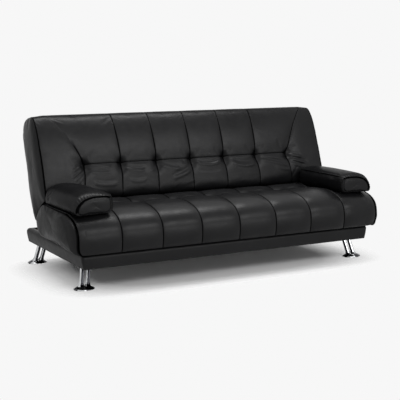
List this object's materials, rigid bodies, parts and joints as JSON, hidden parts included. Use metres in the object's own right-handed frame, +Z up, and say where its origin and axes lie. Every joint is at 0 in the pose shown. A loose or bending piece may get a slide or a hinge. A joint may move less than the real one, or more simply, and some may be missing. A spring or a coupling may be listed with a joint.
{
  "type": "click clack sofa bed",
  "caption": "Click clack sofa bed in black faux leather: tufted channel seat, reclining back that folds flat, low arm pads and splayed chrome legs.",
  "frame": {"origin": "on the floor, under the middle of the sofa's overall box", "axes": "+X to the right along the seat, -Y to the front, +Z up"},
  "size_m": [1.7866, 0.88, 0.8219],
  "materials": {
    "black_leather": "black faux leather with fine grain and a soft sheen, stitched in channels",
    "pine": "planed pine, unfinished",
    "plywood": "birch plywood, unfinished",
    "black_cloth": "thin black non-woven cloth",
    "chrome": "bright chrome plate",
    "zinc_steel": "zinc-plated steel",
    "black_plastic": "matte black moulded plastic"
  },
  "bodies": {
    "base": {"base_front_cover": "black_leather", "base_front_rail": "pine", "base_rear_cover": "black_leather", "base_rear_rail": "pine", "base_left_cover": "black_leather", "base_left_rail": "pine", "base_right_cover": "black_leather", "base_right_rail": "pine", "base_cross_rail_left": "pine", "base_cross_rail_right": "pine", "dust_cover": "black_cloth", "corner_board_front_left": "plywood", "leg_front_left": "chrome", "foot_front_left": "chrome", "glide_front_left": "black_plastic", "corner_board_front_right": "plywood", "leg_front_right": "chrome", "foot_front_right": "chrome", "glide_front_right": "black_plastic", "corner_board_rear_left": "plywood", "leg_rear_left": "chrome", "foot_rear_left": "chrome", "glide_rear_left": "black_plastic", "corner_board_rear_right": "plywood", "leg_rear_right": "chrome", "foot_rear_right": "chrome", "glide_rear_right": "black_plastic", "seat_front_rail": "pine", "seat_rear_rail": "pine", "seat_left_rail": "pine", "seat_right_rail": "pine", "seat_deck": "plywood", "seat_cushion": "black_leather", "seat_end_panel_left": "black_leather", "arm_pad_left": "black_leather", "arm_board_left": "plywood", "arm_bracket_left": "zinc_steel", "hinge_seat_plate_left": "zinc_steel", "hinge_pin_left": "zinc_steel", "pawl_spring_left": "zinc_steel", "seat_end_panel_right": "black_leather", "arm_pad_right": "black_leather", "arm_board_right": "plywood", "arm_bracket_right": "zinc_steel", "hinge_seat_plate_right": "zinc_steel", "hinge_pin_right": "zinc_steel", "pawl_spring_right": "zinc_steel"},
    "back": {"back_bottom_rail": "pine", "back_top_rail": "pine", "back_left_rail": "pine", "back_right_rail": "pine", "back_deck": "plywood", "back_cushion": "black_leather", "back_rear_panel": "black_leather", "back_end_panel_left": "black_leather", "hinge_back_plate_left": "zinc_steel", "back_end_panel_right": "black_leather", "hinge_back_plate_right": "zinc_steel"},
    "pawl_left": {"hinge_pawl_left": "zinc_steel"},
    "pawl_right": {"hinge_pawl_right": "zinc_steel"}
  },
  "joints": [
    {"name": "back_recline", "type": "hinge", "parent": "base", "child": "back", "pos_m": [0, 0.18, 0.25], "axis": [-1, 0, 0], "range_deg": [-5, 69]},
    {"name": "pawl_lift_left", "type": "hinge", "parent": "base", "child": "pawl_left", "pos_m": [-0.8084, 0.146, 0.208], "axis": [-1, 0, 0], "range_deg": [0, 8], "stiffness_Nm_per_rad": 0.05, "springref_deg": -8.59, "deforming": ["pawl_spring_left"]},
    {"name": "pawl_lift_right", "type": "hinge", "parent": "base", "child": "pawl_right", "pos_m": [0.8084, 0.146, 0.208], "axis": [-1, 0, 0], "range_deg": [0, 8], "stiffness_Nm_per_rad": 0.05, "springref_deg": -8.59, "deforming": ["pawl_spring_right"]}
  ]
}
